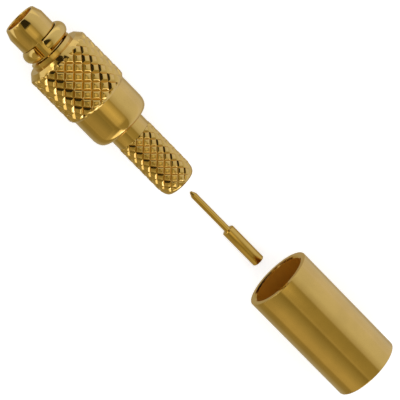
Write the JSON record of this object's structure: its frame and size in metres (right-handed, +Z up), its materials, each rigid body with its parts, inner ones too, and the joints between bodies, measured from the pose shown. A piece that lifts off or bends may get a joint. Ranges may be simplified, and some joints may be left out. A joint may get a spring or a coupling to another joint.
{
  "type": "mmcx plug connector kit",
  "caption": "Straight crimp plug for thin coaxial cable: knurled gilt body with snap ring, loose centre contact and loose crimp ferrule, laid in a row.",
  "frame": {"origin": "middle of the row on the surface that it lies on", "axes": "+X along the row from the mating nose to the ferrule, +Z up"},
  "size_m": [0.0292, 0.0042, 0.0042],
  "materials": {
    "body_gilt": "bright gold plating on turned brass",
    "ring_gilt": "gold plating on spring bronze",
    "bead_white": "matt white fluoropolymer",
    "stem_gilt": "bright gold plating on knurled brass",
    "contact_gilt": "bright gold plating on turned brass",
    "ferrule_gilt": "satin gold plating on soft copper alloy tube"
  },
  "bodies": {
    "plug": {"plug_body": "body_gilt", "insulator": "bead_white", "crimp_stem": "stem_gilt", "centre_contact": "contact_gilt", "crimp_ferrule": "ferrule_gilt"},
    "ring": {"snap_ring": "ring_gilt"}
  },
  "joints": [
    {"name": "ring_turn", "type": "hinge", "parent": "plug", "child": "ring", "pos_m": [-0.0126, -0.00001, 0.00203], "axis": [1, 0, 0], "continuous": true}
  ]
}
